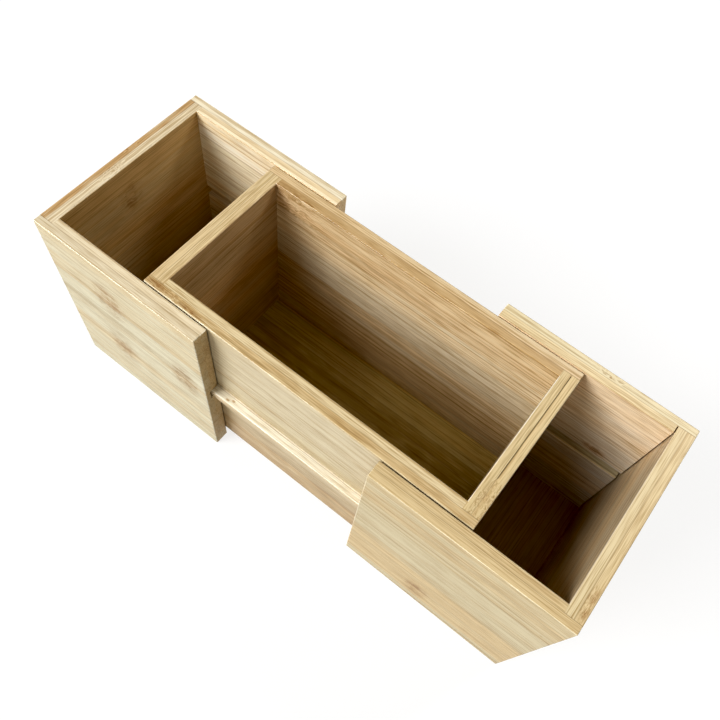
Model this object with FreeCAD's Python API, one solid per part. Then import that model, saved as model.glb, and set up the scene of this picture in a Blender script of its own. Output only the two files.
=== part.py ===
import FreeCAD, Part
import os
from FreeCAD import Vector

# Expandable bamboo desk organizer: an open central box that carries two square rails, and two
# U-shaped shells that slide on those rails, one out to each side. Millimetres.
# X runs along the organizer, left to right. Y runs from front to back. Z is up, and z = 0 is
# the desk. The origin is the middle of the base, with the shells drawn out as they are here.

# Boards and corner joints
board = 10.0                # thickness of every wall board
lip = board / 2.0           # what a corner rebate leaves on the outer side of a side wall
arris = 0.7                 # rounding of the exposed board edges

# Sliding shells
shell_width = 127.4         # Y, over both side walls
shell_height = 139.0
shell_length = 117.5        # X, from the end wall's outer face to the open end
shell_floor = 7.0           # floor thickness
floor_setback = 4.0         # the floor stops this far short of the open end
floor_arris = 0.8           # rounding of the floor's free edge

# Central box
center_length = 212.0
center_width = 106.2
center_floor = 10.0         # floor thickness
under_clearance = 1.0       # between the shell floors and the central box

# Rails and the grooves that they run in
rail_size = 6.0             # the rail's section is square, and stands this proud of the wall
rail_bottom = 68.0
rail_inset = 1.0            # at each end, clear of the rounded corner
rail_arris = 1.0
groove_play_height = 0.9    # above and below the rail
groove_play_depth = 1.2     # beyond the rail's outer face

# Two glue lines that stand open on this organizer
open_shoulder = 0.7         # between the right shell's back wall and its end wall
split_width = 0.35          # between two plies, in the top of the central box's right end wall
split_depth = 1.5
split_length = 72.0
split_from_back = 1.0       # from the back end of that wall

# Places of the shells
closed_gap = 0.5            # between the two open ends when the organizer is pushed shut
left_drawn = 60.0           # how far the left shell is drawn out here
right_drawn = 51.0          # how far the right shell is drawn out here

# Worked out from the above
half_shell_width = shell_width / 2.0
half_shell_inside = half_shell_width - board
half_center_width = center_width / 2.0
half_center_inside = half_center_width - board
half_center_length = center_length / 2.0
center_bottom = shell_floor + under_clearance
rail_top = rail_bottom + rail_size
groove_bottom = rail_bottom - groove_play_height
groove_top = rail_top + groove_play_height
groove_floor = half_center_width + rail_size + groove_play_depth
center_x = (left_drawn - right_drawn) / 2.0
beyond = 1.0                # how far a cutting box runs past what it cuts
near = 1e-4                 # two coordinates closer than this are the same


def block(x0, x1, y0, y1, z0, z1):
    """A box between two corners."""
    return Part.makeBox(x1 - x0, y1 - y0, z1 - z0, Vector(x0, y0, z0))


def same(a, b):
    return abs(a - b) < near


def level(edge):
    """The height of a level edge, or None for an upright one."""
    low = edge.BoundBox.ZMin
    high = edge.BoundBox.ZMax
    return low if same(low, high) else None


def center_ring():
    """The four walls of the central box as one ring, with its exposed edges rounded."""
    outer = block(-half_center_length, half_center_length, -half_center_width, half_center_width,
                  center_bottom, shell_height)
    inside_x = half_center_length - board
    hollow = block(-inside_x, inside_x, -half_center_inside, half_center_inside,
                   center_bottom - beyond, shell_height + beyond)
    ring = outer.cut(hollow)
    rounded = []
    for edge in ring.Edges:
        middle = edge.BoundBox.Center
        inner = abs(middle.x) < inside_x + near and abs(middle.y) < half_center_inside + near
        height = level(edge)
        at_top = height is not None and same(height, shell_height)
        if at_top or not inner:
            rounded.append(edge)
    return ring.makeFillet(arris, rounded)


def center_side_wall(ring, side):
    """A long wall of the central box, rebated at both ends; side is -1 in front and 1 behind."""
    low, high = sorted((side * half_center_inside, side * half_center_width))
    zone = block(-half_center_length, half_center_length, low, high, center_bottom, shell_height)
    lip_face = side * (half_center_width - lip)
    low, high = sorted((side * (half_center_inside - beyond), lip_face))
    for end in (-1, 1):
        x0, x1 = sorted((end * (half_center_length - board), end * (half_center_length + beyond)))
        zone = zone.cut(block(x0, x1, low, high, 0.0, shell_height + beyond))
    return ring.common(zone)


def center_end_wall(ring, end):
    """An end wall of the central box, which fills the rebates; end is -1 at the left."""
    x0, x1 = sorted((end * (half_center_length - board), end * half_center_length))
    reach = half_center_width - lip
    return ring.common(block(x0, x1, -reach, reach, center_bottom, shell_height))


def with_ply_split(wall):
    """The wall with a short open glue line along the middle of its top edge."""
    middle = wall.BoundBox.Center.x
    back = wall.BoundBox.YMax - split_from_back
    return wall.cut(block(middle - split_width / 2.0, middle + split_width / 2.0,
                          back - split_length, back,
                          shell_height - split_depth, shell_height + beyond))


def center_floor_board():
    inside_x = half_center_length - board
    return block(-inside_x, inside_x, -half_center_inside, half_center_inside,
                 center_bottom, center_bottom + center_floor)


def rail(side):
    """A square rail glued along the outer face of a long wall of the central box."""
    y0, y1 = sorted((side * half_center_width, side * (half_center_width + rail_size)))
    reach = half_center_length - rail_inset
    stick = block(-reach, reach, y0, y1, rail_bottom, rail_top)
    wall_face = side * half_center_width
    rounded = [edge for edge in stick.Edges if not same(edge.BoundBox.Center.y, wall_face)]
    return stick.makeFillet(rail_arris, rounded)


def shell_ring():
    """The three walls of a shell as one U, open end at x = 0 and end wall at shell_length."""
    outer = block(0.0, shell_length, -half_shell_width, half_shell_width, 0.0, shell_height)
    inside_x = shell_length - board
    hollow = block(-beyond, inside_x, -half_shell_inside, half_shell_inside,
                   -beyond, shell_height + beyond)
    ring = outer.cut(hollow)
    rounded = []
    for edge in ring.Edges:
        middle = edge.BoundBox.Center
        height = level(edge)
        inner = abs(middle.y) < half_shell_inside + near and middle.x < inside_x + near
        under = height is not None and same(height, 0.0)
        in_corner = height is None and same(middle.x, inside_x)
        if not in_corner and not (inner and under):
            rounded.append(edge)
    return ring.makeFillet(arris, rounded)


def shell_groove(side):
    """The channel that a rail runs in, cut into the inner face of a shell's side wall."""
    y0, y1 = sorted((side * (half_shell_inside - beyond), side * groove_floor))
    return block(-beyond, shell_length - board, y0, y1, groove_bottom, groove_top)


def shell_side_wall(ring, side):
    """A side wall of a shell, grooved for the rail and rebated for the end wall."""
    low, high = sorted((side * half_shell_inside, side * half_shell_width))
    zone = block(0.0, shell_length, low, high, 0.0, shell_height)
    low, high = sorted((side * (half_shell_inside - beyond), side * (half_shell_width - lip)))
    rebate = block(shell_length - board, shell_length + beyond, low, high,
                   -beyond, shell_height + beyond)
    return ring.common(zone.cut(rebate)).cut(shell_groove(side))


def shoulder_gap(side):
    """The thin gap where a side wall's rebate shoulder stands off the end wall."""
    shoulder = shell_length - board
    y0, y1 = sorted((side * (half_shell_inside - beyond), side * (half_shell_width - lip)))
    return block(shoulder - open_shoulder, shoulder, y0, y1, -beyond, shell_height + beyond)


def shell_end_wall(ring):
    reach = half_shell_width - lip
    return ring.common(block(shell_length - board, shell_length, -reach, reach, 0.0, shell_height))


def shell_floor_board():
    """The floor of a shell, between its walls, with its free edge eased."""
    plate = block(floor_setback, shell_length - board, -half_shell_inside, half_shell_inside,
                  0.0, shell_floor)
    free_edges = []
    for edge in plate.Edges:
        if level(edge) is not None and same(edge.BoundBox.Center.x, floor_setback):
            free_edges.append(edge)
    return plate.makeFillet(floor_arris, free_edges)


def center_parts():
    """The central box and its rails, in its own frame, x = 0 at its middle."""
    ring = center_ring()
    return {
        "center_front_wall": center_side_wall(ring, -1),
        "center_back_wall": center_side_wall(ring, 1),
        "center_left_end": center_end_wall(ring, -1),
        "center_right_end": with_ply_split(center_end_wall(ring, 1)),
        "center_floor": center_floor_board(),
        "front_rail": rail(-1),
        "back_rail": rail(1),
    }


def shell_parts():
    """One shell, in its own frame, x = 0 at its open end and x growing towards its end wall."""
    ring = shell_ring()
    return {
        "front_wall": shell_side_wall(ring, -1),
        "back_wall": shell_side_wall(ring, 1),
        "end_wall": shell_end_wall(ring),
        "floor": shell_floor_board(),
    }


def assembly():
    """Every board in its place, by node name."""
    boards = {}
    for name, shape in center_parts().items():
        boards[name] = shape.translated(Vector(center_x, 0.0, 0.0))
    left_open_end = center_x - closed_gap / 2.0 - left_drawn
    for name, shape in shell_parts().items():
        mirrored = shape.mirror(Vector(0, 0, 0), Vector(1, 0, 0))
        boards["left_" + name] = mirrored.translated(Vector(left_open_end, 0.0, 0.0))
    right_open_end = center_x + closed_gap / 2.0 + right_drawn
    right_parts = shell_parts()
    right_parts["back_wall"] = right_parts["back_wall"].cut(shoulder_gap(1))
    for name, shape in right_parts.items():
        boards["right_" + name] = shape.translated(Vector(right_open_end, 0.0, 0.0))
    return boards


os.makedirs("parts", exist_ok=True)
for node, board_shape in assembly().items():
    board_shape.exportStep("parts/" + node + ".step")
    bounds = board_shape.BoundBox
    print(node, len(board_shape.Solids), "solid", "valid" if board_shape.isValid() else "INVALID",
          "%.1f cm3" % (board_shape.Volume / 1000.0),
          "x %.2f %.2f" % (bounds.XMin, bounds.XMax), "y %.2f %.2f" % (bounds.YMin, bounds.YMax),
          "z %.2f %.2f" % (bounds.ZMin, bounds.ZMax))
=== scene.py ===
import math
import bpy
from mathutils import Matrix, Vector


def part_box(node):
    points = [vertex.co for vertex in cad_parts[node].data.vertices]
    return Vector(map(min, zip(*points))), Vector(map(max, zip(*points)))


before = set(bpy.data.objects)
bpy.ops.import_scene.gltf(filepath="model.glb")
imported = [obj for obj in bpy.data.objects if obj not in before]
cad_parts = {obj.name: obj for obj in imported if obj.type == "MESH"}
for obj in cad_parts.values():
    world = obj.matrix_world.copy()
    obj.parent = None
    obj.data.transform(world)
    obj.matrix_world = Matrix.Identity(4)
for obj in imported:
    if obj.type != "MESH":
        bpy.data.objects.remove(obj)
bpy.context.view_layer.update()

MM = 0.001
METRES_TO_MM = 1000.0

# ---------------------------------------------------------------- camera
CAMERA_AZIMUTH = math.radians(28.64)
CAMERA_ELEVATION = math.radians(64.19)
CAMERA_ROLL = math.radians(-10.28)
CAMERA_DISTANCE = 435.9 * MM
CAMERA_TARGET = Vector((7.1, -5.7, 70.0)) * MM
CAMERA_LENS = 35.91
CAMERA_SHIFT = (0.014, 0.0467)
SENSOR_WIDTH = 36.0
CLIP_START = 10 * MM
CLIP_END = 20.0

# ---------------------------------------------------------------- stage and light
FLOOR_HALF_SIDE = 3.0
FLOOR_COLOR = (0.2, 0.2, 0.2, 1)
FLOOR_GLOW = 0.80
FLOOR_GLOW_COLOR = (1, 1, 1, 1)
FLOOR_ROUGHNESS = 0.7
SKY_COLOR = (1.0, 1.0, 1.0, 1)
SKY_STRENGTH = 0.10            # as a light
BACKDROP_STRENGTH = 1.0        # as the background behind the floor
LIGHT_AIM = (0.0, 0.0, 0.07)
KEY_PLACE = (-1.97, -2.62, 2.28)
KEY_SIZE = 2.4
KEY_POWER = 196
KEY_COLOR = (0.985, 1.0, 1.03)
FILL_PLACE = (0.9, -2.8, 1.5)
FILL_SIZE = 1.4
FILL_POWER = 18
FILL_COLOR = (1.0, 0.96, 0.90)
BACK_PLACE = (0.62, 1.88, 2.07)
BACK_SIZE = 0.9
BACK_POWER = 38
BACK_COLOR = (1.0, 0.97, 0.92)
LOOK_GAMMA = 0.85
LOOK_BLACK = 0.012

# ---------------------------------------------------------------- bamboo, in mm
STRIP_WIDTH = 22.6             # width of one laminated strip
STRIP_START = 6.0              # how much of the first strip is cut off
PLY = 5.0                      # thickness of one ply
PLY_SLACK = 0.03               # keeps a board's faces clear of the ply limits
PIECE_SHIFT = (400.0, 90.0, 90.0)  # how far apart the pieces of cane lie in the grain's pattern

# Colors, and tints that colors are multiplied by
PALE = (0.61, 0.515, 0.335)
DARK = (0.42, 0.315, 0.165)
WARM_TINT = (1.05, 0.978, 0.89)
COOL_TINT = (0.98, 1.008, 1.07)
LINE_TINT = (0.74, 0.66, 0.52)
PORE_TINT = (0.80, 0.72, 0.58)
STAIN_TINT = (0.66, 0.52, 0.38)
TAN_TINT = (0.82, 0.68, 0.48)
END_TINT = (0.88, 0.78, 0.64)
GLUE_TINT = (0.42, 0.32, 0.22)
WHITE = (1.0, 1.0, 1.0)

# Tints that more than one board shares
# Painted highlight on the rounded arrises, partly the paler sanded wood: lifts their colour above the
# faces'.
ARRIS_SANDED_AND_HIGHLIGHT_TINT = (1.2, 1.25, 1.35)
# Painted light: lifts the back walls' outer faces, which the lamps light less, to the front faces'
# paleness.
BACK_FACE_PAINTED_LIGHT_TINT = (1.45, 1.52, 1.65)

# How tone and hue vary
MIDDLE_TONE = 0.72             # how far from DARK to PALE the cane lies on average
PIECE_TONE_WEIGHT = 0.3        # how much the pieces of cane differ in tone
BROAD_HUE_WEIGHT = 2.0         # how much the broad grain turns the hue
EDGE_HUE_WEIGHT = 0.4          # the hue's share on edges
HUE_LIMITS = (-0.5, 0.5)

# The grain's layers: changes per mm along and across the fibres, octaves, and weights on faces and edges
LAYERS = {
    "broad": ((0.004, 0.13), 2.0, 1.1, 0.5),
    "mottle": ((0.045, 0.14), 2.0, 1.2, 0.4),
    "medium": ((0.0035, 0.42), 1.0, 1.3, 0.7),
    "fine": ((0.005, 1.35), 1.0, 3.2, 2.6),
    "dashes": ((0.07, 2.0), 1.0, 3.0, 3.2),
}

# More patterns, in changes per mm along and across the fibres
LINES = (0.0025, 1.10)         # thin dark lines
LINE_LIMITS = (0.62, 0.67)
LINE_STRENGTH = 0.9
PORES = (0.06, 2.0)            # short dark dashes
PORE_LIMITS = (0.55, 0.75)
PORE_STRENGTH = 0.6
DRIFT = (0.010, 0.030)         # how the fibres wander
DRIFT_REACH = 0.5              # and how far
CURL = (0.15, 0.25)            # how the fibres turn at a node of the cane
CURL_REACH = 8.0               # and how far
THROUGH_SHARE = 0.4            # how far the fibres move through the board, as a share of that
RAGGED = (0.16, 0.22)          # the outline of a node
RAGGED_REACH = (0.6, 0.45, 0.2)  # and how far, as a share of the node's half sizes
RINGS = (0.27, 0.07)           # the marks across a node
RING_LIMITS = (0.38, 0.62)
RING_LOW = 0.6                 # the stain that is left between the marks
STAIN_FADE = (0.3, 1.35)       # where a node's stain fades out, as a share of its half sizes
SWIRL_FADE = (0.4, 1.5)        # and where its swirl does
STREAK_LIMITS = (0.85, 1.15)   # the grain streaks a stain between these
STREAK_RANGE = (1.4, 0.45)     # and gives it these strengths

# Bars of other cane, and bands of painted shade and painted highlight
BAR_SOFTNESS = 0.7             # of a bar's limits across the board
BAR_PLY_SOFTNESS = 0.3         # and through it
BAR_STREAKS = 3.0              # how strongly the grain streaks a bar

# Glue lines: the dark line's half width, how far from its middle it has faded out, and its strength
STRIP_GLUE = (0.004, 0.014, 0.25)  # as a share of the strip's width
PLY_GLUE = (0.08, 0.28, 0.40)
END_GLUE = (0.10, 0.40, 0.6)

# How squarely a surface faces an axis, from 0 to 1
SIDE_FACING = (0.75, 0.95)
ARRIS_FACING = (0.82, 0.995)

# Gloss and relief
ROUGHNESS = 0.36
GRAIN_ROUGHNESS = 0.16         # what the fine grain adds
STAIN_ROUGHNESS = 0.06         # what a node's stain adds
END_ROUGHNESS = 0.12           # what a sawn end adds
ARRIS_ROUGHNESS = 0.45         # an arris's share of all that
GRAIN_RELIEF = 0.6
PORE_RELIEF = -0.5
RELIEF_STRENGTH = 0.35
RELIEF_DEPTH = 0.06 * MM

# Sockets of the Mix node when it mixes colors
MIX_FIRST = 6
MIX_SECOND = 7
MIX_RESULT = 2


class Shader:
    """The shader nodes of one material, written as plain arithmetic."""

    def __init__(self, name):
        self.material = bpy.data.materials.new(name)
        self.material.use_nodes = True
        self.tree = self.material.node_tree
        self.surface = self.tree.nodes["Principled BSDF"]

    def feed(self, socket, value):
        if isinstance(value, bpy.types.NodeSocket):
            self.tree.links.new(value, socket)
        else:
            socket.default_value = value

    def node(self, kind, values, **settings):
        made = self.tree.nodes.new(kind)
        for key, setting in settings.items():
            setattr(made, key, setting)
        for place, value in values.items():
            self.feed(made.inputs[place], value)
        return made

    def math(self, operation, *values):
        return self.node("ShaderNodeMath", dict(enumerate(values)), operation=operation).outputs[0]

    def about(self, value, middle, weight, base):
        """base plus weight times how far value lies from middle."""
        return self.math("MULTIPLY_ADD", self.math("SUBTRACT", value, middle), weight, base)

    def mixed(self, amount, first, second):
        """The number first where amount is 0, second where it is 1."""
        return self.math("MULTIPLY_ADD", amount, second - first, first)

    def vector(self, operation, *values):
        made = self.node("ShaderNodeVectorMath", dict(enumerate(values)), operation=operation)
        return made.outputs["Vector"]

    def length(self, value):
        return self.node("ShaderNodeVectorMath", {0: value}, operation="LENGTH").outputs["Value"]

    def join(self, x, y, z):
        return self.node("ShaderNodeCombineXYZ", {0: x, 1: y, 2: z}).outputs[0]

    def split(self, value):
        return self.node("ShaderNodeSeparateXYZ", {0: value}).outputs[:3]

    def noise(self, place, detail, output="Fac"):
        values = {"Vector": place, "Scale": 1.0, "Detail": detail}
        return self.node("ShaderNodeTexNoise", values).outputs[output]

    def ramp(self, value, start, end, low=0.0, high=1.0):
        """low up to start, high from end on, and a smooth rise between."""
        values = {"Value": value, "From Min": start, "From Max": end, "To Min": low, "To Max": high}
        return self.node("ShaderNodeMapRange", values, interpolation_type="SMOOTHSTEP").outputs["Result"]

    def blend(self, amount, first, second):
        """The color first where amount is 0, second where it is 1."""
        made = self.node("ShaderNodeMix", {0: amount}, data_type="RGBA")
        for place, color in ((MIX_FIRST, first), (MIX_SECOND, second)):
            self.feed(made.inputs[place], color if isinstance(color, bpy.types.NodeSocket) else (*color, 1))
        return made.outputs[MIX_RESULT]

    def tinted(self, color, amount, tint):
        """color times tint, in the measure that amount says."""
        return self.vector("MULTIPLY", color, self.blend(amount, WHITE, tint))


def knuckle(along, across, through, length=9, width=13, depth=4, stain=0.6, swirl=0.6):
    """A node of the cane, whose stain one board also uses as painted shade in a corner: its middle and half
    sizes in the board's own millimetres.
    """
    return {"middle": (along, across, through), "size": (length, width, depth),
            "stain": stain, "swirl": swirl}


def bar(across, through, strength, tint=TAN_TINT):
    """A strip of other cane, a band of painted shade, or a painted highlight line: the board's range across
    and through in mm, and how it is tinted.
    """
    return {"across": across, "through": through, "strength": strength, "tint": tint}


def board(along, across, through, seed, tint=WHITE, edge_grain_and_light_tint=WHITE, outer_tone_and_light_tint=None,
          outer_arris_painted_light=ARRIS_SANDED_AND_HIGHLIGHT_TINT, inner_arris_painted_light=ARRIS_SANDED_AND_HIGHLIGHT_TINT, contrast=1.0, edge_contrast=1.0, lean=0.0,
          knuckles=(), bars=(), glued_ends=False):
    """How one board's cane runs: the signed axes along, across and through it, and its marks.

    tint is for both faces, or for the inner one alone where the outer tint gives the other's. All the face,
    edge and arris tints hold painted light and shade besides the board's own tone.
    """
    return {"axes": (along, across, through), "seed": seed,
            "tint": tint, "edge_grain_and_light_tint": edge_grain_and_light_tint, "outer_tone_and_light_tint": outer_tone_and_light_tint or tint,
            "outer_arris_painted_light": outer_arris_painted_light, "inner_arris_painted_light": inner_arris_painted_light,
            "contrast": contrast, "edge_contrast": edge_contrast, "lean": lean,
            "knuckles": knuckles, "bars": bars, "glued_ends": glued_ends}


# Each board's tints hold its own tone and painted light as well: tops (the edge tints) and outer faces are
# lifted, and faces lightened or darkened by how the lamps fall on them.
BOARDS = {
    "left_front_wall": board(
        "+x", "-z", "+y", 3, tint=(0.97, 1.03, 1.08), edge_grain_and_light_tint=(1.32, 1.42, 1.65),
        # Its arris tints are painted highlights, brightest on the inner arris beside the dark compartment.
        outer_arris_painted_light=(1.18, 1.28, 1.48), inner_arris_painted_light=(1.7, 1.9, 2.4), contrast=0.75, edge_contrast=0.65,
        knuckles=(
            knuckle(47, 35, 0, 12, 17, 5, 0.9),
            knuckle(44, 91, 0, 12, 18, 5, 0.78),
            knuckle(101, 63, 0, 11, 16, 5, 0.95),
            knuckle(70, 104, 10, 8, 8))),
    "left_back_wall": board(
        # The inner face's pale tint is partly painted sheen; the outer face's tint is painted light.
        "+x", "-z", "-y", 11, tint=(1.51, 1.61, 1.8), outer_tone_and_light_tint=BACK_FACE_PAINTED_LIGHT_TINT,
        # The inner arris's dark tint is painted shade in the gap beside the center box's back wall.
        edge_grain_and_light_tint=(1.55, 1.68, 1.98), inner_arris_painted_light=(0.7, 0.64, 0.57),
        contrast=0.75, edge_contrast=0.62,
        bars=(
            bar((1.2, 17), (5, 11), 1.0, (0.95, 1.0, 1.14)),
            bar((17, 39), (5, 11), 1.0, (0.95, 0.93, 0.92))),
        knuckles=(knuckle(30, 50, 0), knuckle(88, 90, 0))),
    "left_end_wall": board(
        "+y", "-z", "+x", 23, tint=(1.07, 0.98, 0.81), outer_tone_and_light_tint=(1.0, 1.0, 1.02),
        edge_grain_and_light_tint=(1.33, 1.42, 1.65), contrast=0.6, edge_contrast=0.75, glued_ends=True,
        bars=(bar((-1, 13.8), (-1, 4.0), 1.0, (0.78, 0.62, 0.44)),),
        knuckles=(
            knuckle(52, 24, 10, 9, 11),
            knuckle(47, 0, 6.3, 8, 4, 2.6, 0.2, 1.2),
            knuckle(67, 0, 1, 5, 6, 2, 0.5, 0.8),
            knuckle(84, 80, 0),
            knuckle(30, 110, 0))),
    "left_floor": board("+y", "+x", "+z", 31, contrast=0.6),
    "right_front_wall": board(
        "+x", "-z", "+y", 41, tint=(0.88, 0.87, 0.8), edge_grain_and_light_tint=(1.17, 1.12, 1.0),
        # Its outer arris tint is a painted highlight along the front top edge.
        outer_arris_painted_light=(1.5, 1.66, 2.05), contrast=0.85, edge_contrast=0.7, lean=0.05,
        knuckles=(
            knuckle(51, 116, 0, 8, 14, 5, 0.75),
            knuckle(111, 33.7, 0, 0.8, 0.8, 2, 0.8, 0.0))),
    "right_back_wall": board(
        "+x", "-z", "-y", 53, tint=(1.47, 1.53, 1.86), outer_tone_and_light_tint=BACK_FACE_PAINTED_LIGHT_TINT,
        # The inner arris's dark tint is painted shade in the gap beside the center box's back wall.
        edge_grain_and_light_tint=(1.31, 1.36, 1.38), inner_arris_painted_light=(0.85, 0.8, 0.74), contrast=0.75, edge_contrast=0.8,
        # Painted highlight: a thin bright line along the groove's lower lip.
        bars=(bar((72.0, 72.6), (9.3, 11), 1.0, (1.5, 1.42, 1.25)),),
        knuckles=(
            knuckle(66.3, 0, 3.4, 0.8, 3.0, 0.7, 3.0, 0.0),
            knuckle(67, 0, 2.6, 11, 8, 2.2, 0.2, 0.8),
            knuckle(86, 59, 10, 8, 4.0, 3, 1.4),
            knuckle(60, 30, 0))),
    "right_end_wall": board(
        "+y", "-z", "-x", 61, tint=(1.09, 1.06, 1.1), outer_tone_and_light_tint=(1.4, 1.44, 1.5),
        edge_grain_and_light_tint=(1.26, 1.25, 1.18), edge_contrast=0.7, glued_ends=True,
        knuckles=(
            knuckle(14, 0, 3.0, 6, 6, 2.0, 0.7, 0.8),
            knuckle(5.5, 0, 2.5, 4, 6, 2.0, 0.7, 0.8),
            knuckle(60, 70, 0))),
    "right_floor": board("+y", "+x", "+z", 71, tint=(0.86, 0.74, 0.7), contrast=0.5),
    "center_front_wall": board(
        "+x", "-z", "+y", 83, tint=(0.93, 0.93, 0.92), edge_grain_and_light_tint=(1.27, 1.26, 1.21),
        contrast=0.78,
        bars=(
            bar((-1, 3), (0.6, 4.6), 0.6, (0.80, 0.71, 0.57)),
            # Painted shade below the rail, deeper towards the bottom.
            bar((66, 140), (-1, 11), 1.0, (0.86, 0.83, 0.79)),
            bar((102, 140), (-1, 11), 1.0, (0.90, 0.86, 0.82))),
        knuckles=(
            knuckle(8, 0, 2.5, 8, 8, 2.2, 0.8, 0.3),
            knuckle(19, 0, 2.6, 6, 8, 2.2, 0.3, 1.4),
            knuckle(31, 0, 2.0, 9, 8, 1.2, 0.9, 0.4),
            knuckle(150, 60, 10))),
    "center_back_wall": board(
        "+x", "-z", "-y", 97, tint=(1.25, 1.25, 1.33), outer_tone_and_light_tint=(1.5, 1.54, 1.64),
        # The outer arris's dark tint is painted shade in the gaps beside the shells' back walls.
        edge_grain_and_light_tint=(1.23, 1.16, 1.1), outer_arris_painted_light=(0.66, 0.6, 0.52), contrast=1.2,
        bars=(
            bar((-1, 1), (5.1, 11), 1.0, (0.76, 0.69, 0.57)),
            bar((10, 24), (5, 11), 1.0, (0.93, 0.89, 0.84))),
        knuckles=(
            # This node's stain is partly painted shade: the darker corner beside the left end wall.
            knuckle(14, 8, 10, 7, 13, 4, 0.7, 0.3),
            knuckle(28, 10, 10, 13, 11, 4, 0.3, 1.0),
            knuckle(120, 40, 0),
            knuckle(60, 100, 0))),
    "center_left_end": board(
        "+y", "-z", "+x", 103, tint=(1.08, 0.94, 0.83), edge_grain_and_light_tint=(1.23, 1.19, 1.11),
        contrast=0.8, glued_ends=True),
    "center_right_end": board(
        # The inner arris's strong tint is a painted highlight: a white line along it.
        "+y", "-z", "-x", 113, edge_grain_and_light_tint=(1.16, 1.13, 1.0), inner_arris_painted_light=(1.6, 1.85, 2.6),
        edge_contrast=0.8, glued_ends=True,
        knuckles=(knuckle(9, 0, 3.6, 11, 8, 4.5, 0.35, 1.4), knuckle(52, 50, 0))),
    "center_floor": board(
        "+x", "+y", "+z", 127, tint=(1.24, 1.20, 0.76), contrast=0.8,
        # Painted shadow of the front wall over the floor's front part.
        bars=(bar((-1, 68), (-1, 11), 0.9, (0.70, 0.62, 0.40)),)),
    "front_rail": board(
        # Its edge tint lifts the rail's top: painted light.
        "+x", "-z", "+y", 137, tint=(0.92, 0.91, 0.92), edge_grain_and_light_tint=(1.58, 1.8, 2.32),
        contrast=0.6, edge_contrast=0.5,
        knuckles=(
            knuckle(55.6, 0, 1.9, 1.5, 2.5, 0.8, 1.2, 0.3),
            knuckle(59.0, 0, 3.4, 1.2, 2.5, 0.7, 1.2, 0.3))),
    # Its tints lift it like the back walls' outer faces: painted light.
    "back_rail": board("+x", "-z", "-y", 139, tint=(1.45, 1.5, 1.6), edge_grain_and_light_tint=(1.5, 1.65, 2.0)),
}


def board_place(s, node, axes):
    """Millimetres along, across and through a board, from its own corner."""
    low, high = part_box(node)
    spots = s.split(s.node("ShaderNodeTexCoord", {}).outputs["Object"])
    places = []
    for axis in axes:
        index = "xyz".index(axis[1])
        sign = 1.0 if axis[0] == "+" else -1.0
        start = low[index] if sign > 0 else high[index]
        scale = sign * METRES_TO_MM
        places.append(s.math("MULTIPLY_ADD", spots[index], scale, -start * scale))
    return places


def board_sides(s, axes):
    """Three masks: the board's sawn ends, its edges, and its rounded arrises."""
    normal = s.node("ShaderNodeTexCoord", {}).outputs["Normal"]
    facing = s.split(s.vector("ABSOLUTE", normal))
    along_axis, across_axis = ("xyz".index(axis[1]) for axis in axes[:2])
    widest = s.math("MAXIMUM", s.math("MAXIMUM", facing[0], facing[1]), facing[2])
    on_end = s.ramp(facing[along_axis], *SIDE_FACING)
    on_edge = s.ramp(facing[across_axis], *SIDE_FACING)
    on_arris = s.ramp(widest, *ARRIS_FACING, 1.0, 0.0)
    return on_end, on_edge, on_arris


def scaled(s, places, shift, scales):
    """A noise place that is long along the grain."""
    place = s.vector("ADD", s.join(*places), shift)
    return s.vector("MULTIPLY", place, (scales[0], scales[1], scales[1]))


def knuckle_fields(s, places, knuckles, seed):
    """How strongly the cane's nodes stain the board and swirl its fibres."""
    ragged = s.noise(scaled(s, places, (seed, 0, 0), RAGGED), 2.0, "Color")
    ragged = s.vector("MULTIPLY", s.vector("SUBTRACT", ragged, (0.5, 0.5, 0.5)), RAGGED_REACH)
    point = s.join(*places)
    stain = 0.0
    swirl = 0.0
    for spot in knuckles:
        scale = tuple(1.0 / size for size in spot["size"])
        start = tuple(-middle / size for middle, size in zip(spot["middle"], spot["size"]))
        offset = s.vector("MULTIPLY_ADD", point, scale, start)
        distance = s.length(s.vector("ADD", offset, ragged))
        stain = s.math("MAXIMUM", stain, s.ramp(distance, *STAIN_FADE, spot["stain"], 0.0))
        swirl = s.math("MAXIMUM", swirl, s.ramp(distance, *SWIRL_FADE, spot["swirl"], 0.0))
    rings = s.noise(scaled(s, places, (0, seed, 0), RINGS), 2.0)
    rings = s.ramp(rings, *RING_LIMITS, RING_LOW, 1.0)
    return s.math("MULTIPLY", stain, rings), swirl


def fibre_place(s, places, seed, lean, swirl):
    """The place along, across and through the fibres, which lean, wander and curl a little."""
    along, across, through = places
    drift = s.noise(scaled(s, places, (seed, seed, 0), DRIFT), 1.0)
    curl = s.noise(scaled(s, places, (0, seed, seed), CURL), 1.0)
    shift = s.about(drift, 0.5, DRIFT_REACH, 0.0)
    shift = s.about(curl, 0.5, s.math("MULTIPLY", swirl, CURL_REACH), shift)
    leaning = s.math("MULTIPLY_ADD", along, lean, across)
    return along, s.math("ADD", leaning, shift), s.math("MULTIPLY_ADD", shift, THROUGH_SHARE, through)


def strip_place(s, across):
    """Where a point lies, counted in strips across the board."""
    return s.math("DIVIDE", s.math("ADD", across, STRIP_START), STRIP_WIDTH)


def cane_piece(s, places, seed):
    """A random color for each piece of cane, which is one strip of one ply."""
    across, through = places[1:]
    strip = s.math("FLOOR", strip_place(s, across))
    ply = s.math("FLOOR", s.math("DIVIDE", s.math("ADD", through, PLY_SLACK), PLY + PLY_SLACK))
    return s.node("ShaderNodeTexWhiteNoise", {"Vector": s.join(strip, ply, seed)}).outputs["Color"]


def range_mask(s, value, limits, softness):
    """1 where value lies between the two limits, with soft edges."""
    rise = s.ramp(value, limits[0] - softness, limits[0] + softness)
    fall = s.ramp(value, limits[1] - softness, limits[1] + softness, 1.0, 0.0)
    return s.math("MULTIPLY", rise, fall)


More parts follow.
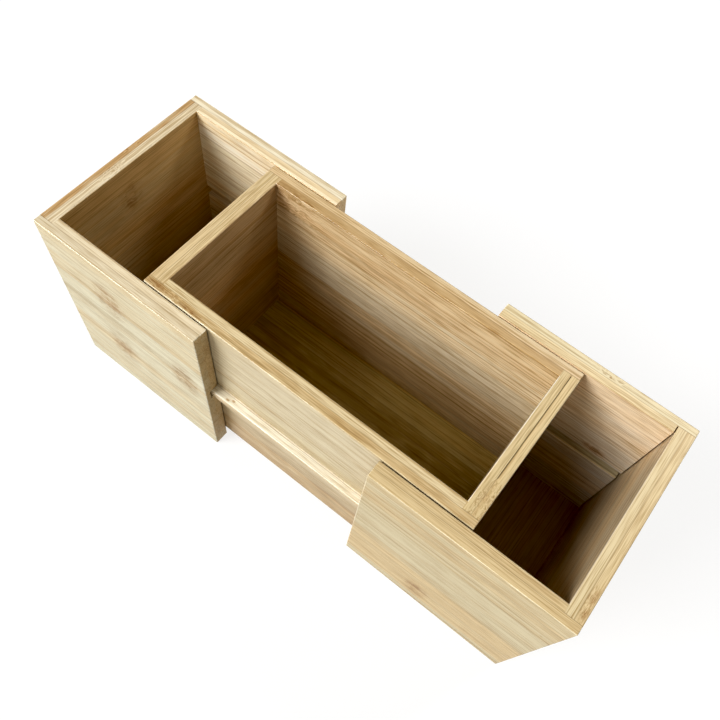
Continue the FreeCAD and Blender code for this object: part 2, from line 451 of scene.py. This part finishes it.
def glue_line(s, distance, glue):
    """A line's strength at a distance from it; glue is its half width, its outer limit and its strength."""
    solid, faded, strength = glue
    return s.ramp(distance, solid, faded, strength, 0.0)


def joints(s, node, spec, places, on_edge):
    """How strongly the glue shows: between strips, between plies, and at a board's glued ends."""
    along, across, through = places
    strips = s.math("FRACT", s.math("ADD", strip_place(s, across), 0.5))
    from_strip = s.math("ABSOLUTE", s.math("SUBTRACT", strips, 0.5))
    from_ply = s.math("ABSOLUTE", s.math("SUBTRACT", through, PLY))
    ply_glue = s.math("MULTIPLY", glue_line(s, from_ply, PLY_GLUE), on_edge)
    glue = s.math("MAXIMUM", glue_line(s, from_strip, STRIP_GLUE), ply_glue)
    if spec["glued_ends"]:
        low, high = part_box(node)
        index = "xyz".index(spec["axes"][0][1])
        whole = (high[index] - low[index]) * METRES_TO_MM
        from_end = s.math("MINIMUM", along, s.math("SUBTRACT", whole, along))
        glue = s.math("MAXIMUM", glue, glue_line(s, from_end, END_GLUE))
    return glue


def cane_color(s, grain, piece, contrast, on_edge):
    """The bare cane: paler and darker, warmer and cooler, by its grain and from piece to piece."""
    piece_tone, piece_hue = s.split(piece)[:2]
    waves = s.about(piece_tone, 0.5, PIECE_TONE_WEIGHT, 0.0)
    for name, (_, _, face_weight, edge_weight) in LAYERS.items():
        waves = s.about(grain[name], 0.5, s.mixed(on_edge, face_weight, edge_weight), waves)
    tone = s.math("MULTIPLY_ADD", waves, contrast, MIDDLE_TONE)
    color = s.blend(tone, DARK, PALE)
    hue = s.about(grain["broad"], 0.5, BROAD_HUE_WEIGHT, s.math("SUBTRACT", piece_hue, 0.5))
    hue = s.ramp(s.math("MULTIPLY", hue, s.mixed(on_edge, 1.0, EDGE_HUE_WEIGHT)), *HUE_LIMITS)
    return s.vector("MULTIPLY", color, s.blend(hue, WARM_TINT, COOL_TINT))


def with_bars(s, color, bars, grain, across, through):
    """color with the board's strips of other cane and its bands of painted shade and highlight, streaked by
    the grain.
    """
    for strip in bars:
        mask = s.math("MULTIPLY", range_mask(s, across, strip["across"], BAR_SOFTNESS),
                      range_mask(s, through, strip["through"], BAR_PLY_SOFTNESS))
        streaks = s.math("SUBTRACT", grain["fine"], grain["mottle"])
        streaks = s.math("MULTIPLY_ADD", streaks, BAR_STREAKS, 1.0)
        mask = s.math("MULTIPLY", mask, s.math("MULTIPLY", streaks, strip["strength"]))
        color = s.tinted(color, mask, strip["tint"])
    return color


def side_tints(s, color, spec, through, on_edge, on_arris):
    """color with the tints of the board's two faces, its edges and its arrises: partly the cane's own tone,
    partly painted light, shade and highlight.
    """
    inside = s.math("GREATER_THAN", through, PLY)
    # The arris tints paint highlights on lit arrises, or paint the shade of the gap where an arris meets a
    # neighbouring board.
    arris_painted_light = s.blend(inside, spec["outer_arris_painted_light"], spec["inner_arris_painted_light"])
    color = s.vector("MULTIPLY", color, s.blend(on_arris, WHITE, arris_painted_light))
    # The face and edge tints are partly painted light: lighter tops and outer faces, and faces evened out
    # against the lamps.
    face_tone_and_light_tint = s.blend(inside, spec["outer_tone_and_light_tint"], spec["tint"])
    return s.vector("MULTIPLY", color, s.blend(on_edge, face_tone_and_light_tint, spec["edge_grain_and_light_tint"]))


def satin_surface(s, fine, pores, stain, on_end, on_arris):
    """Satin lacquer: glossier on the arrises, duller at stains and sawn ends, in fine relief."""
    roughness = s.math("MULTIPLY_ADD", fine, GRAIN_ROUGHNESS, ROUGHNESS)
    roughness = s.math("MULTIPLY_ADD", stain, STAIN_ROUGHNESS, roughness)
    roughness = s.math("MULTIPLY_ADD", on_end, END_ROUGHNESS, roughness)
    roughness = s.math("MULTIPLY", roughness, s.mixed(on_arris, 1.0, ARRIS_ROUGHNESS))
    s.feed(s.surface.inputs["Roughness"], roughness)
    relief = s.math("MULTIPLY_ADD", fine, GRAIN_RELIEF, s.math("MULTIPLY", pores, PORE_RELIEF))
    values = {"Strength": RELIEF_STRENGTH, "Distance": RELIEF_DEPTH, "Height": relief}
    s.feed(s.surface.inputs["Normal"], s.node("ShaderNodeBump", values).outputs[0])


def bamboo(node, spec):
    """Laminated bamboo: strips and plies of cane with fibres, nodes, glue lines and end grain."""
    s = Shader("bamboo_" + node)
    seed = float(spec["seed"])
    places = board_place(s, node, spec["axes"])
    through = places[2]
    on_end, on_edge, on_arris = board_sides(s, spec["axes"])
    stain, swirl = knuckle_fields(s, places, spec["knuckles"], seed)
    fibres = fibre_place(s, places, seed, s.mixed(on_edge, spec["lean"], 0.0), swirl)
    piece = cane_piece(s, places, seed)
    piece_shift = s.vector("MULTIPLY", piece, PIECE_SHIFT)
    contrast = s.mixed(on_edge, spec["contrast"], spec["edge_contrast"])
    grain = {name: s.noise(scaled(s, fibres, piece_shift, layer[0]), layer[1])
             for name, layer in LAYERS.items()}

    color = cane_color(s, grain, piece, contrast, on_edge)
    lines = s.ramp(s.noise(scaled(s, fibres, piece_shift, LINES), 0.0), *LINE_LIMITS)
    lines = s.math("MULTIPLY", lines, s.math("MULTIPLY", contrast, LINE_STRENGTH))
    color = s.tinted(color, lines, LINE_TINT)
    pores = s.ramp(s.noise(scaled(s, fibres, piece_shift, PORES), 1.0), *PORE_LIMITS)
    color = s.tinted(color, s.math("MULTIPLY", pores, PORE_STRENGTH), PORE_TINT)
    color = with_bars(s, color, spec["bars"], grain, fibres[1], through)
    streaks = s.math("ADD", grain["medium"], grain["dashes"])
    streaks = s.ramp(streaks, *STREAK_LIMITS, *STREAK_RANGE)
    color = s.tinted(color, s.math("MULTIPLY", stain, streaks), STAIN_TINT)
    color = s.tinted(color, joints(s, node, spec, places, on_edge), GLUE_TINT)
    color = s.tinted(color, on_end, END_TINT)
    s.feed(s.surface.inputs["Base Color"], side_tints(s, color, spec, through, on_edge, on_arris))
    satin_surface(s, grain["fine"], pores, stain, on_end, on_arris)
    return s.material


def make_camera():
    """The camera looks down on the organizer from its front right corner."""
    data = bpy.data.cameras.new("camera")
    data.sensor_width = SENSOR_WIDTH
    data.lens = CAMERA_LENS
    data.shift_x, data.shift_y = CAMERA_SHIFT
    data.clip_start = CLIP_START
    data.clip_end = CLIP_END
    camera = bpy.data.objects.new("camera", data)
    bpy.context.scene.collection.objects.link(camera)
    back = Vector((math.sin(CAMERA_AZIMUTH) * math.cos(CAMERA_ELEVATION),
                   -math.cos(CAMERA_AZIMUTH) * math.cos(CAMERA_ELEVATION),
                   math.sin(CAMERA_ELEVATION)))
    turn = (-back).to_track_quat("-Z", "Y").to_matrix().to_4x4()
    roll = Matrix.Rotation(-CAMERA_ROLL, 4, back)
    camera.matrix_world = Matrix.Translation(CAMERA_TARGET + back * CAMERA_DISTANCE) @ roll @ turn
    bpy.context.scene.camera = camera


def make_stage():
    """The white floor that the organizer stands on."""
    mesh = bpy.data.meshes.new("floor")
    half = FLOOR_HALF_SIDE
    corners = [(-half, -half, 0), (half, -half, 0), (half, half, 0), (-half, half, 0)]
    mesh.from_pydata(corners, [], [(0, 1, 2, 3)])
    floor = bpy.data.objects.new("floor", mesh)
    bpy.context.scene.collection.objects.link(floor)
    s = Shader("floor")
    s.surface.inputs["Base Color"].default_value = FLOOR_COLOR
    s.surface.inputs["Roughness"].default_value = FLOOR_ROUGHNESS
    s.surface.inputs["Emission Color"].default_value = FLOOR_GLOW_COLOR
    s.surface.inputs["Emission Strength"].default_value = FLOOR_GLOW
    mesh.materials.append(s.material)


def area_light(name, place, size, power, color):
    data = bpy.data.lights.new(name, "AREA")
    data.shape = "SQUARE"
    data.size = size
    data.energy = power
    data.color = color
    light = bpy.data.objects.new(name, data)
    bpy.context.scene.collection.objects.link(light)
    place = Vector(place)
    turn = (Vector(LIGHT_AIM) - place).to_track_quat("-Z", "Y").to_matrix().to_4x4()
    light.matrix_world = Matrix.Translation(place) @ turn


def make_light():
    """A large soft light from the front left, smaller ones from the front right and from behind, and a sky.

    The sky lights the organizer faintly, and looks as pale as the floor where nothing stands before it.
    """
    world = bpy.data.worlds.new("studio")
    bpy.context.scene.world = world
    world.use_nodes = True
    nodes, links = world.node_tree.nodes, world.node_tree.links
    background = nodes["Background"]
    background.inputs["Color"].default_value = SKY_COLOR
    strength = nodes.new("ShaderNodeMapRange")
    strength.inputs["To Min"].default_value = SKY_STRENGTH
    strength.inputs["To Max"].default_value = BACKDROP_STRENGTH
    links.new(nodes.new("ShaderNodeLightPath").outputs["Is Camera Ray"], strength.inputs["Value"])
    links.new(strength.outputs["Result"], background.inputs["Strength"])
    area_light("key", KEY_PLACE, KEY_SIZE, KEY_POWER, KEY_COLOR)
    area_light("fill", FILL_PLACE, FILL_SIZE, FILL_POWER, FILL_COLOR)
    area_light("back", BACK_PLACE, BACK_SIZE, BACK_POWER, BACK_COLOR)


def set_look():
    view = bpy.context.scene.view_settings
    view.view_transform = "Standard"
    view.gamma = LOOK_GAMMA
    view.use_curve_mapping = True
    view.curve_mapping.black_level = (LOOK_BLACK, LOOK_BLACK, LOOK_BLACK)
    view.curve_mapping.update()


make_camera()
make_stage()
make_light()
set_look()
for name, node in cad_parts.items():
    node.data.materials.clear()
    node.data.materials.append(bamboo(name, BOARDS[name]))
